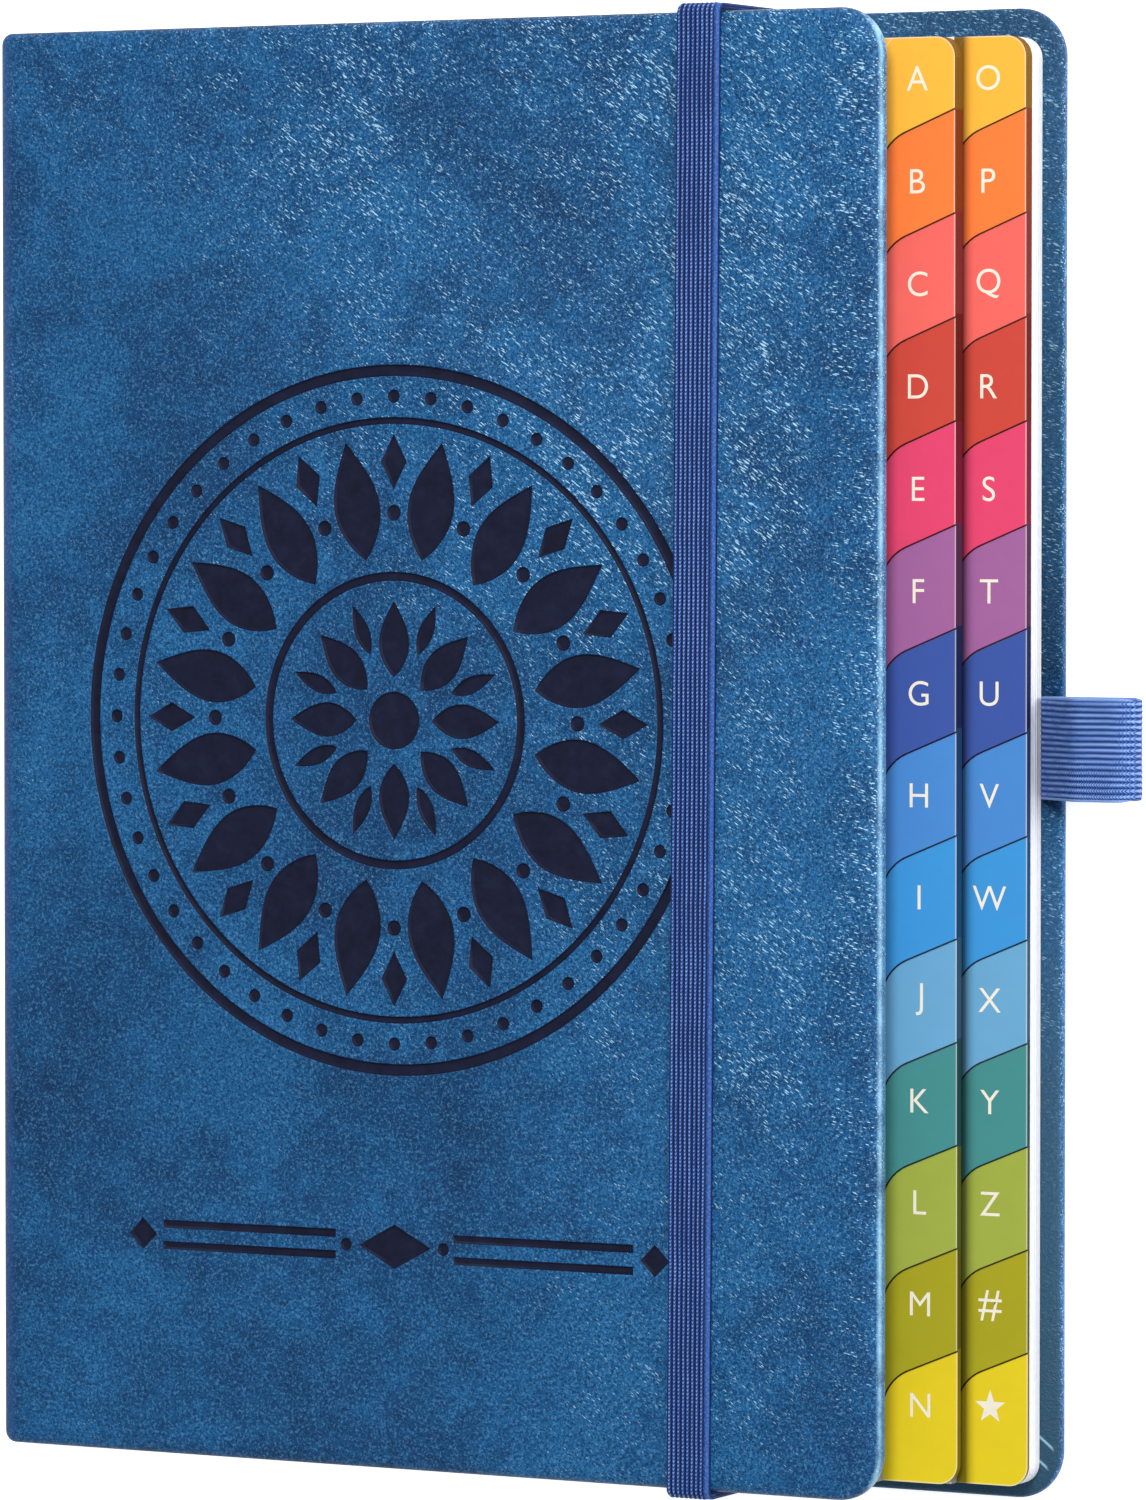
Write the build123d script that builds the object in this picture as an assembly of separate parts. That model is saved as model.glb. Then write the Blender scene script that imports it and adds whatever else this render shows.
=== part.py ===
from build123d import *
import os

# Address book lying on its back cover, in millimetres.
# Book coordinates: x from the spine's outer face, y from tail to head about the middle, z up from the back cover.

# Covers
cover_height = 213.0
front_width = 147.5
cover_thickness = 2.6
corner_radius = 7.0
edge_radius = 0.7
spine_edge_radius = 2.0
leather = 0.8
turn_in = 0.3
turn_in_width = 14.0

# Spine
spine_thickness = 2.0
spine_skin = 0.6
lining_thickness = 0.3
lining_gap = 0.2
hinge_gap = 0.15
joint_gap = 0.1

# Text block
head_square = 4.2
tail_square = 2.2
flyleaf = 0.2
front_gathering = 1.9
front_gatherings = 2
first_pitch = 0.13
first_closing = 1.11
second_pitch = 0.12
second_closing = 0.54
leaf_gap = 0.03
block_gap = 0.1
notes_thickness = 3.3
front_leaf_inset = 5.0
page_corner_radius = 3.0

# Index
rows = 14
first_tab_show = 8.3
second_tab_show = 9.8
first_tab_overlap = 3.5
second_tab_overlap = 1.4
fore_square = 3.2
first_edge = front_width + first_tab_show
second_edge = first_edge + second_tab_show
back_width = second_edge + fore_square
first_tab_root = front_width - first_tab_overlap
second_tab_root = first_edge - second_tab_overlap
first_row_height = 10.4
tab_slope = 0.41
tab_sweep_radius = 6.5
binding_wedge = 5.0
first_names = "a b c d e f g h i j k l m n".split()
second_names = "o p q r s t u v w x y z number star".split()

# Bands at the head and tail of the binding
band_height = 1.4
band_depth = 1.6
band_radius = 0.5

# Elastic strap
strap_x = 118.8
strap_width = 7.0
strap_thickness = 0.7
strap_gap = 0.05
strap_slack = 0.5
strap_bend = 0.6
strap_tail = 10.0
strap_stub = 1.0

# Pen loop
loop_width = 14.7
loop_y = 1.2
loop_thickness = 0.8
loop_reach = 13.8
loop_rise = 7.4
loop_flat = 4.0
loop_page_gap = 0.4
loop_seat_gap = 0.2
loop_root_radius = 0.9
tongue_gap = 0.5
tongue_length = turn_in_width - tongue_gap

# Heights of the stack
block_bottom = cover_thickness + joint_gap
notes_bottom = block_bottom + flyleaf + leaf_gap
notes_top = notes_bottom + notes_thickness
second_bottom = notes_top + block_gap
first_bottom = second_bottom + second_closing + (rows - 1) * second_pitch
first_top = first_bottom + first_closing + (rows - 1) * first_pitch
front_pages_bottom = first_top + block_gap
front_pages_top = front_pages_bottom + front_gatherings * (front_gathering + block_gap)
front_cover_bottom = front_pages_top + flyleaf + joint_gap
book_thickness = front_cover_bottom + cover_thickness

# Plan of the text block
lining_x = spine_thickness + lining_gap
hinge_x = lining_x + lining_thickness + hinge_gap
block_tail = tail_square - cover_height / 2
block_head = cover_height / 2 - head_square
block_height = block_head - block_tail
row_pitch = block_height / rows

# The frame's origin lies under the middle of the whole book, pen loop included.
origin_x = (back_width + loop_reach) / 2


def write(name, shape):
    """Move a piece from book coordinates to the part's frame and write it."""
    placed = Pos(-origin_x, 0, 0) * shape
    placed.label = name
    export_step(placed, f"parts/{name}.step")


def block(x0, x1, y0, y1, z0, z1):
    """A box between two corners."""
    size = Box(x1 - x0, y1 - y0, z1 - z0, align=(Align.MIN, Align.MIN, Align.MIN))
    return Pos(x0, y0, z0) * size


def rounded_outline(x0, x1, y0, y1, radius):
    """A rectangle whose two corners at the fore-edge are rounded."""
    face = Pos((x0 + x1) / 2, (y0 + y1) / 2) * Rectangle(x1 - x0, y1 - y0)
    corners = face.vertices().sort_by(Axis.X)[-2:]
    return fillet(corners, radius)


def slab(x0, x1, y0, y1, z0, z1, radius):
    """A flat piece with rounded fore-edge corners."""
    outline = Pos(0, 0, z0) * rounded_outline(x0, x1, y0, y1, radius)
    return extrude(outline, z1 - z0)


def cover_board(width):
    """The stiff board, inset in the leather on every side."""
    half = cover_height / 2 - leather
    return slab(leather, width - leather, -half, half, leather, cover_thickness - turn_in, corner_radius - leather)


def pastedown(width):
    """The paper glued inside the cover, flush with the leather turned in around it."""
    half = cover_height / 2 - turn_in_width
    return block(turn_in_width, width - turn_in_width, -half, half, cover_thickness - turn_in, cover_thickness)


def cover_leather(width):
    """The leather round one board: outer face, edges and turned-in margins, outer face down."""
    half = cover_height / 2
    skin = slab(0, width, -half, half, 0, cover_thickness, corner_radius)
    outer_edges = skin.edges().group_by(Axis.Z)[0]
    spine_edge = outer_edges.sort_by(Axis.X)[0]
    skin = fillet(spine_edge, spine_edge_radius)
    rim = skin.faces().sort_by(Axis.Z)[0].edges().sort_by(Axis.X)[1:]
    skin = fillet(rim, edge_radius)
    return skin - cover_board(width) - pastedown(width)


def turned_over(shape):
    """Turn a cover made outer face down into the front cover's place."""
    return Pos(0, 0, book_thickness) * mirror(shape, about=Plane.XY)


def front_cover():
    write("front_cover_leather", turned_over(cover_leather(front_width)))
    write("front_cover_board", turned_over(cover_board(front_width)))
    write("front_pastedown", turned_over(pastedown(front_width)))


def strap_channels():
    """Grooves in the back cover's leather that the strap's tails lie in, and the slots where they end."""
    half_width = strap_width / 2 + strap_gap
    depth = leather
    inner = cover_height / 2 - strap_tail
    cuts = []
    for side in (1, -1):
        low, high = sorted((side * inner, side * cover_height / 2))
        cuts.append(block(strap_x - half_width, strap_x + half_width, low, high, 0, depth))
        stub_low, stub_high = sorted((side * (inner - strap_gap), side * (inner + strap_thickness + strap_gap)))
        cuts.append(block(strap_x - half_width, strap_x + half_width, stub_low, stub_high, 0, depth + strap_stub))
    return cuts


def pen_tongue():
    """The end of the pen loop's webbing, glued into the inner face of the back cover."""
    low = loop_y - loop_width / 2
    high = loop_y + loop_width / 2
    bottom = cover_thickness - loop_thickness
    return block(back_width - tongue_length, back_width, low, high, bottom, cover_thickness)


def back_cover():
    tongue = pen_tongue()
    skin = cover_leather(back_width)
    board = cover_board(back_width)
    for cut in strap_channels():
        skin = skin - cut
        board = board - cut
    write("back_cover_leather", skin - tongue)
    write("back_cover_board", board - tongue)
    write("back_pastedown", pastedown(back_width))
    write("pen_loop_tongue", tongue)


def spine():
    """The spine's leather and its stiffener, between the two covers."""
    low = cover_thickness + joint_gap
    high = front_cover_bottom - joint_gap
    half = cover_height / 2
    write("spine_leather", block(0, spine_skin, -half, half, low, high))
    write("spine_board", block(spine_skin, spine_thickness, leather - half, half - leather, low, high))
    lining = block(lining_x, lining_x + lining_thickness, block_tail, block_head, low, front_pages_top)
    write("spine_lining", lining)
    for name, edge, turn in (("head_band", block_head, 1), ("tail_band", block_tail, -1)):
        y_low, y_high = sorted((edge, edge + turn * band_height))
        band = block(lining_x, lining_x + band_depth, y_low, y_high, low, front_pages_top)
        outer_corners = band.edges().filter_by(Axis.Z).sort_by(Axis((0, edge, 0), (0, turn, 0)))[2:]
        write(name, fillet(outer_corners, band_radius))


def cut_outline(row, root, edge):
    """A leaf's outline: its tab zone reaches the fore-edge down to the foot of its own row."""
    head = block_head
    if row == rows - 1:
        return rounded_outline(hinge_x, edge, block_tail, head, page_corner_radius)
    cut_edge = head - first_row_height - row * row_pitch
    cut_root = cut_edge - tab_slope * (edge - root)
    lines = Polyline((hinge_x, head), (hinge_x, block_tail), (root, block_tail), (root, cut_root), (edge, cut_edge),
                     (edge, head), close=True)
    face = make_face(lines)
    face = fillet(face.vertices().sort_by_distance((root, cut_root))[0], tab_sweep_radius)
    return fillet(face.vertices().sort_by_distance((edge, head))[0], page_corner_radius)


def index_leaf(row, root, edge, bottom, pitch):
    """One index section: a leaf of paper that thins to a crease at its sewn edge."""
    thickness = pitch - leaf_gap
    plate = extrude(Pos(0, 0, bottom) * cut_outline(row, root, edge), thickness)
    middle = bottom + thickness / 2
    profile = Polyline((hinge_x, middle), (hinge_x + binding_wedge, bottom + thickness),
                       (edge, bottom + thickness), (edge, bottom), (hinge_x + binding_wedge, bottom),
                       close=True)
    section = make_face(Plane.XZ * profile)
    crease = extrude(section, block_height, both=True)
    return plate & crease


def index_sections():
    """Both tab columns. The last section of a column also holds its spare leaves, so it is thicker."""
    columns = ((first_names, first_tab_root, first_edge, first_bottom, first_pitch, first_closing),
               (second_names, second_tab_root, second_edge, second_bottom, second_pitch, second_closing))
    for names, root, edge, bottom, pitch, closing in columns:
        for row, name in enumerate(names[:-1]):
            level = bottom + closing + (rows - 2 - row) * pitch
            write(f"section_{name}", index_leaf(row, root, edge, level, pitch))
        write(f"section_{names[-1]}", index_leaf(rows - 1, root, edge, bottom, closing))


def plain_pages():
    """The pages without tabs: flyleaves, front gatherings and the notes at the back."""
    front_edge = front_width - front_leaf_inset

    def pages(x1, z0, thickness):
        return slab(hinge_x, x1, block_tail, block_head, z0, z0 + thickness, page_corner_radius)

    write("back_flyleaf", pages(second_edge, block_bottom, flyleaf))
    write("note_pages", pages(second_edge, notes_bottom, notes_thickness))
    for index in range(front_gatherings):
        level = front_pages_bottom + index * (front_gathering + block_gap)
        write(f"front_pages_{front_gatherings - index}", pages(front_edge, level, front_gathering))
    write("front_flyleaf", pages(front_edge, front_pages_top, flyleaf))


def elastic_strap():
    """The closing strap: over the front cover, round head and tail, and along its channels at the back."""
    inner_height = cover_height + 2 * (strap_gap + strap_slack)
    low = leather - strap_gap - strap_thickness
    inner_low = leather - strap_gap
    inner_high = book_thickness + strap_gap
    middle = (inner_low + inner_high) / 2
    inner = Rectangle(inner_height, inner_high - inner_low)
    inner = fillet(inner.vertices().sort_by(Axis.Y)[-2:], strap_bend)
    outer = RectangleRounded(inner_height + 2 * strap_thickness, inner_high - inner_low + 2 * strap_thickness,
                             strap_bend + strap_thickness)
    ring = Plane.YZ * Pos(0, middle) * (outer - inner)
    band = Pos(strap_x - strap_width / 2, 0, 0) * extrude(ring, strap_width, dir=(1, 0, 0))
    tail = cover_height / 2 - strap_tail
    x0 = strap_x - strap_width / 2
    x1 = strap_x + strap_width / 2
    band = band - block(x0, x1, -tail, tail, low, inner_low)
    for side in (1, -1):
        y_low, y_high = sorted((side * tail, side * (tail + strap_thickness)))
        band = band + block(x0, x1, y_low, y_high, inner_low, inner_low + strap_stub)
    write("elastic_strap", band)


def pen_loop():
    """The webbing's teardrop loop, pinched where it rises from its tongue beside the pages."""
    radius = loop_rise / 2
    level = cover_thickness + radius
    far = back_width + loop_reach - radius
    near = far - loop_flat
    root_x = second_edge + loop_page_gap + loop_root_radius
    root_z = cover_thickness + loop_seat_gap + loop_root_radius

    def drop(inset):
        rounds = Sketch() + [
            Pos(far, level) * Circle(radius - inset),
            Pos(near, level) * Circle(radius - inset),
            Pos(root_x, root_z) * Circle(loop_root_radius - inset),
        ]
        return make_hull(rounds.edges())

    profile = drop(0) - drop(loop_thickness)
    band = extrude(Plane.XZ * profile, loop_width / 2, both=True)
    write("pen_loop", Pos(0, loop_y, 0) * band)


os.makedirs("parts", exist_ok=True)
front_cover()
back_cover()
spine()
index_sections()
plain_pages()
elastic_strap()
pen_loop()
print(f"thickness {book_thickness:.3f}, origin x {origin_x:.3f}, hinge x {hinge_x:.3f}")
print(f"front pages {front_pages_bottom:.3f} to {front_pages_top:.3f}, index {second_bottom:.3f} to {first_top:.3f}")
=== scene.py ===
import math
import random

import bmesh
import bpy
from mathutils import Matrix, Vector
from mathutils.geometry import convex_hull_2d, delaunay_2d_cdt


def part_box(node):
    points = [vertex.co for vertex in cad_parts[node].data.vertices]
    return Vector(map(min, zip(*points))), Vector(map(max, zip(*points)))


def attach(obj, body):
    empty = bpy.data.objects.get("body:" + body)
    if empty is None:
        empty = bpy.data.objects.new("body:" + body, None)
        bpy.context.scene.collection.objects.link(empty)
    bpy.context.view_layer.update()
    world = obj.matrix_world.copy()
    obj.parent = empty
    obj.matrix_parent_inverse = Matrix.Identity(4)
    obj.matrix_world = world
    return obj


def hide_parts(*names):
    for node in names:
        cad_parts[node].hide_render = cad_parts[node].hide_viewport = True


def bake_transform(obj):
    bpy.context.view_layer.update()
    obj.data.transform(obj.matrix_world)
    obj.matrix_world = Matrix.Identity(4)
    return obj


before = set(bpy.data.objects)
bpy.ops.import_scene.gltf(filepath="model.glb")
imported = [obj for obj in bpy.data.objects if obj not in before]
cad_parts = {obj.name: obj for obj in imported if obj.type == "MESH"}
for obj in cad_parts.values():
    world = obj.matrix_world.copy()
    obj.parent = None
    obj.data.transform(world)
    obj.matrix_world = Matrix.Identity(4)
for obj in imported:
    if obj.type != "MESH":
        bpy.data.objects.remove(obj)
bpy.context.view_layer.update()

MM = 0.001

# Places read from the frame, in metres
front_low, front_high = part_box("front_cover_leather")
back_low, back_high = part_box("back_cover_leather")
spine_low, spine_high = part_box("spine_leather")
strap_low, strap_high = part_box("elastic_strap")
loop_low, loop_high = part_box("pen_loop")
tongue_low, tongue_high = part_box("pen_loop_tongue")
first_low, first_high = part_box("section_n")
second_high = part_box("section_star")[1]
SPINE_X = front_low.x
BOOK_TOP = front_high.z

# Covers and leaves
CORNER_RADIUS = 7.0 * MM
SPINE_CORNER_RADIUS = 1.7 * MM
PAGE_CORNER_RADIUS = 3.0 * MM
TURN_IN = 14.0 * MM
SPINE_STRIP_THICKNESS = 0.5 * MM
SPINE_STRIP_START = 1.5 * MM
SPINE_STRIP_SINK = 0.04 * MM
SPINE_STRIP_RISE = 0.06 * MM
SPINE_INSET_SHARE = 1.7
LEAST_CORNER_RADIUS = 0.6 * MM

# Cuts in the back cover's leather, and places clear of the book that they run to
CUT_ROOM = 0.06 * MM
STRAP_SEAT = 0.8 * MM
PAST_BOOK = 0.2
ABOVE_BOOK = 0.1
BELOW_BOOK = -0.01

# A cover's edge from its face to the turned-in margin: (inset, depth) in millimetres
EDGE_DROPS = [
    (5.0, 0.0), (3.2, 0.02), (2.2, 0.07), (1.4, 0.18), (0.8, 0.37), (0.36, 0.66), (0.09, 1.02), (0.0, 1.4),
    (0.0, 1.95), (0.07, 2.25), (0.26, 2.48), (0.6, 2.6), (1.6, 2.6), (7.0, 2.6), (14.0, 2.6), (14.0, 2.3),
]

# Ornament on the front cover
MEDALLION = Vector((SPINE_X + 68.4 * MM, 4.0 * MM))
LOWER_RULE = Vector((SPINE_X + 68.4 * MM, -73.5 * MM))
# Wall of a pressed motif, from the swollen lip outside to the floor: (grow, depth) in millimetres
WALL = [(0.42, 0.0), (0.2, -0.05), (0.06, -0.02), (-0.06, 0.14), (-0.16, 0.3), (-0.3, 0.34)]
LIP_BANDS = 2
# Inner and outer radius of each pressed ring, in millimetres
PRESSED_RINGS = [(20.6, 21.8), (43.6, 44.5), (50.6, 52.2)]
LEATHER_SLOT = 0
FOIL_SLOT = 1

# Index rows, as the leaves are cut
ROWS = 14
FIRST_ROW_HEIGHT = 10.4 * MM
TAB_SLOPE = 0.41
TAB_SWEEP_RADIUS = 6.5 * MM
PRINT_OVERLAP = 0.7 * MM
FIRST_NAMES = "a b c d e f g h i j k l m n".split()
SECOND_NAMES = "o p q r s t u v w x y z number star".split()
FIRST_LABELS = list("ABCDEFGHIJKLMN")
SECOND_LABELS = list("OPQRSTUVWXYZ#") + ["star"]
FIRST_ROOT = front_high.x - 3.5 * MM
SECOND_ROOT = first_high.x - 1.4 * MM
ROW_PITCH = (first_high.y - first_low.y) / ROWS
ROW_COLOURS = {
    "amber": (252, 185, 66), "orange": (253, 128, 62), "coral": (244, 106, 98), "brick": (205, 74, 62),
    "rose": (228, 72, 112), "plum": (162, 100, 156), "navy": (62, 88, 164), "azure": (74, 138, 208),
    "sky": (62, 150, 216), "ice": (106, 168, 208), "teal": (70, 142, 142), "leaf": (160, 174, 72),
    "olive": (168, 162, 36), "lemon": (228, 204, 38),
}

# Marks on the tabs
MARK_INSET = 5.9 * MM
MARK_TOP = 5.9 * MM
MARK_PITCH = 14.58 * MM
MARK_HEIGHT = 3.65 * MM
MARK_THINNING = 0.015 * MM
MARK_LIFT = 0.006 * MM
CAPITAL_SHARE = 0.72
NUMBER_SIGN_GROWTH = 1.25
STAR_OUTER = 2.5 * MM
STAR_INNER = 1.0 * MM

# Closing strap
STRAP_THICKNESS = 0.7 * MM
STRAP_RELIEF = 0.22 * MM
STRAP_TAIL = 10.0 * MM
STRAP_RIBS = 8
STRAP_PITCH = 0.74 * MM
STRAP_FIRST_RIB = strap_low.x + 0.1 * MM
STRAP_LEAN = 1.6 * MM / (strap_high.y - strap_low.y)
STRAP_INNER_BEND = 0.25 * MM
STRAP_OUTER_BEND = 0.9 * MM

# Pen loop
LOOP_THICKNESS = 0.8 * MM
LOOP_RELIEF = 0.12 * MM
LOOP_RIBS = 17
LOOP_SELVEDGE = 0.4 * MM
LOOP_FIRST_RIB = loop_low.y + LOOP_SELVEDGE
LOOP_PITCH = (loop_high.y - loop_low.y - 2 * LOOP_SELVEDGE) / LOOP_RIBS
LOOP_STRAIGHT = 4.0 * MM
LOOP_ROOT_RADIUS = 0.9 * MM
LOOP_ROOT_LIFT = 1.1 * MM
FOLD_LENGTH = 1.6 * MM
FOLD_INSET = 0.55 * MM

# Camera, as solved from the photograph
CAMERA_PLACE = Vector((614.8 * MM + SPINE_X, 40.1 * MM, 987.8 * MM))
CAMERA_YAW = math.radians(28.05)
CAMERA_PITCH = math.radians(2.08)
FOCAL_PIXELS = 7581.0
PHOTO_HEIGHT = 1500.0
SENSOR = 36.0
FLOOR_SIZE = 6.0


# Node materials

def srgb(red, green, blue):
    """A linear colour from 8-bit screen values."""
    def channel(value):
        share = value / 255
        return share / 12.92 if share <= 0.04045 else ((share + 0.055) / 1.055) ** 2.4
    return (channel(red), channel(green), channel(blue), 1.0)


class Shader:
    """A material whose nodes are added by short calls."""

    def __init__(self, name):
        self.material = bpy.data.materials.new(name)
        self.material.use_nodes = True
        self.nodes = self.material.node_tree.nodes
        self.links = self.material.node_tree.links
        self.surface = self.nodes["Principled BSDF"]
        self.place = self.nodes.new("ShaderNodeTexCoord").outputs["Object"]

    def put(self, socket, value):
        """Link an output to a socket, or set the socket's value."""
        if isinstance(value, bpy.types.NodeSocket):
            self.links.new(value, socket)
        else:
            socket.default_value = value

    def set(self, **values):
        """Give the surface's sockets their values, with _ for each space in a socket's name."""
        for name, value in values.items():
            self.put(self.surface.inputs[name.replace("_", " ")], value)

    def math(self, operation, first, second=0.0, third=0.0):
        node = self.nodes.new("ShaderNodeMath")
        node.operation = operation
        for socket, value in zip(node.inputs, (first, second, third)):
            self.put(socket, value)
        return node.outputs[0]

    def axes(self, vector=None):
        """The x, y and z of a vector, or of the place on the object."""
        node = self.nodes.new("ShaderNodeSeparateXYZ")
        self.put(node.inputs[0], vector or self.place)
        return node.outputs

    def normal(self):
        """The surface's normal in the object's own axes."""
        return self.nodes.new("ShaderNodeTexCoord").outputs["Normal"]

    def stretched(self, along, across, turn):
        """Places stretched along a line turned about Z: along and across are repeats per metre."""
        node = self.nodes.new("ShaderNodeMapping")
        node.vector_type = "TEXTURE"
        self.put(node.inputs["Vector"], self.place)
        node.inputs["Scale"].default_value = (1 / along, 1 / across, 1 / across)
        node.inputs["Rotation"].default_value = (0, 0, turn)
        return node.outputs[0]

    def noise(self, scale, detail=3.0, roughness=0.5, vector=None, distortion=0.0):
        node = self.nodes.new("ShaderNodeTexNoise")
        self.put(node.inputs["Vector"], vector or self.place)
        node.inputs["Scale"].default_value = scale
        node.inputs["Detail"].default_value = detail
        node.inputs["Roughness"].default_value = roughness
        node.inputs["Distortion"].default_value = distortion
        return node.outputs["Fac"]

    def cells(self, vector):
        """Distance to the nearest cell's middle, for cells one unit apart."""
        node = self.nodes.new("ShaderNodeTexVoronoi")
        node.feature = "F1"
        self.put(node.inputs["Vector"], vector)
        node.inputs["Scale"].default_value = 1.0
        return node.outputs["Distance"]

    def ramp(self, value, stops, interpolation="LINEAR"):
        """A colour ramp with (place, colour) stops."""
        node = self.nodes.new("ShaderNodeValToRGB")
        node.color_ramp.interpolation = interpolation
        elements = node.color_ramp.elements
        while len(elements) < len(stops):
            elements.new(0.5)
        for element, (place, colour) in zip(elements, stops):
            element.position = place
            element.color = colour
        self.put(node.inputs[0], value)
        return node.outputs[0]

    def between(self, value, low, high, start=0.0, end=1.0):
        """Map a value from one range to another, clamped."""
        node = self.nodes.new("ShaderNodeMapRange")
        for socket, number in zip(node.inputs, (value, low, high, start, end)):
            self.put(socket, number)
        return node.outputs[0]

    def mix(self, share, first, second):
        """Blend two colours. The node's colour sockets are inputs 6 and 7 and output 2."""
        node = self.nodes.new("ShaderNodeMix")
        node.data_type = "RGBA"
        self.put(node.inputs["Factor"], share)
        self.put(node.inputs[6], first)
        self.put(node.inputs[7], second)
        return node.outputs[2]

    def bump(self, height, distance, strength=1.0):
        node = self.nodes.new("ShaderNodeBump")
        node.inputs["Strength"].default_value = strength
        node.inputs["Distance"].default_value = distance
        self.put(node.inputs["Height"], height)
        return node.outputs[0]


# Leather

def crease_glint_and_wear(s, place):
    """How strong the painted glints on the creases are, and how worn the creases are: patchy, and most
    towards the head of the fore-edge.
    """
    patches = s.noise(30.0, 3.0, 0.6)
    upper = s.between(s.math("MULTIPLY_ADD", place[1], 0.6, place[0]), -90 * MM, 90 * MM, 0.0, 0.3)
    return s.between(s.math("MULTIPLY_ADD", patches, 0.5, upper), 0.22, 0.55, 0.08, 1.0)


def crease_glints(s, place, glint_and_wear):
    """Painted glints: thin light dashes and dots along creases that run down towards the fore-edge, more
    level close to it.
    """
    creases = s.noise(1.0, 3.0, 0.6, s.stretched(80.0, 480.0, math.radians(-45)), 0.7)
    size = s.math("MULTIPLY", s.between(creases, 0.26, 0.66, 0.1, 0.32), glint_and_wear)
    dashes = s.cells(s.stretched(580.0, 3300.0, math.radians(-34)))
    level_dashes = s.cells(s.stretched(620.0, 3000.0, math.radians(-14)))
    near_edge = s.between(place[0], front_high.x - 12 * MM, front_high.x - 7 * MM)
    change = s.math("SUBTRACT", level_dashes, dashes)
    dashes = s.math("ADD", s.math("MULTIPLY", change, near_edge), dashes)
    dots = s.cells(s.stretched(1350.0, 2500.0, math.radians(-38)))
    dash_share = s.between(s.math("SUBTRACT", dashes, size), -0.07, 0.05, 0.95, 0.0)
    dot_share = s.between(s.math("MULTIPLY_ADD", size, -0.85, dots), -0.08, 0.06, 0.5, 0.0)
    crest_highlight = s.math("MAXIMUM", dash_share, dot_share)
    return s.math("MULTIPLY", crest_highlight, s.between(glint_and_wear, 0.1, 0.7, 0.45, 1.0))


def edge_tones(s, place, facing, mottle, colour):
    """The front cover's fore-edge with a painted highlight, a painted shade band by the spine, and painted
    shade on the head and tail edges.
    """
    # Painted highlight on the fore-edge's rounded shoulder, patchy with the mottle
    shoulder = s.math("MULTIPLY", s.between(facing[0], 0.5, 0.74, 0.0, 0.7),
                      s.between(facing[0], 0.84, 0.98, 1.0, 0.25))
    fore_edge_highlight = s.math("MULTIPLY", shoulder, s.between(mottle, 0.36, 0.6, 0.35, 1.1))
    front_part = s.between(place[2], 5 * MM, 6 * MM)
    colour = s.mix(s.math("MULTIPLY", fore_edge_highlight, front_part), colour, srgb(156, 202, 228))
    # Painted shade band along the spine edge, purpler and with less grain
    spine_shade = s.between(place[0], SPINE_X + 1.4 * MM, SPINE_X + 2.6 * MM, 0.5, 0.0)
    spine_shade = s.math("MULTIPLY", spine_shade, s.between(facing[2], 0.5, 0.9))
    colour = s.mix(spine_shade, colour, srgb(46, 84, 146))
    # Painted shade on the edges that face the head and tail
    ends = s.between(s.math("ABSOLUTE", facing[1]), 0.6, 0.95, 0.0, 0.5)
    return s.mix(ends, colour, srgb(10, 34, 58))


def pleat_highlights(s, place):
    """Painted highlights along two short folds in the turned-in leather at the back cover's outer tail
    corner.
    """
    from_edge = s.math("SUBTRACT", back_high.x, place[0])
    from_end = s.math("SUBTRACT", place[1], back_low.y)
    across = s.math("MULTIPLY_ADD", from_edge, -0.8, from_end)
    pleat_light = 0.0
    for offset, middle, half_length in ((6.4 * MM, 3.1 * MM, 2.2 * MM), (2.9 * MM, 3.5 * MM, 1.7 * MM)):
        off_line = s.math("ABSOLUTE", s.math("SUBTRACT", across, offset))
        off_middle = s.math("ABSOLUTE", s.math("SUBTRACT", from_edge, middle))
        # Painted highlight along one fold
        fold = s.math("MULTIPLY", s.between(off_line, 0.1 * MM, 0.34 * MM, 0.85, 0.0),
                      s.between(off_middle, half_length - 0.6 * MM, half_length, 1.0, 0.0))
        pleat_light = s.math("MAXIMUM", pleat_light, fold)
    return pleat_light


def margin_tones(s, place, facing, colour):
    """The back cover's turned-in margin: painted shade, deeper towards the tail, with painted highlights on
    folds at its tail corner.
    """
    back_part = s.between(place[2], 4 * MM, 5 * MM, 1.0, 0.0)
    margin = s.math("MULTIPLY", back_part, s.between(facing[2], 0.5, 0.9))
    margin_shade_share = s.between(place[1], -100 * MM, 100 * MM, 0.98, 0.45)
    # Painted shade over the margin, deeper towards the tail
    colour = s.mix(s.math("MULTIPLY", margin, margin_shade_share), colour, srgb(42, 76, 98))
    # Painted highlights on the folds at the tail corner
    return s.mix(s.math("MULTIPLY", margin, pleat_highlights(s, place)), colour, srgb(150, 190, 216))


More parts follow.
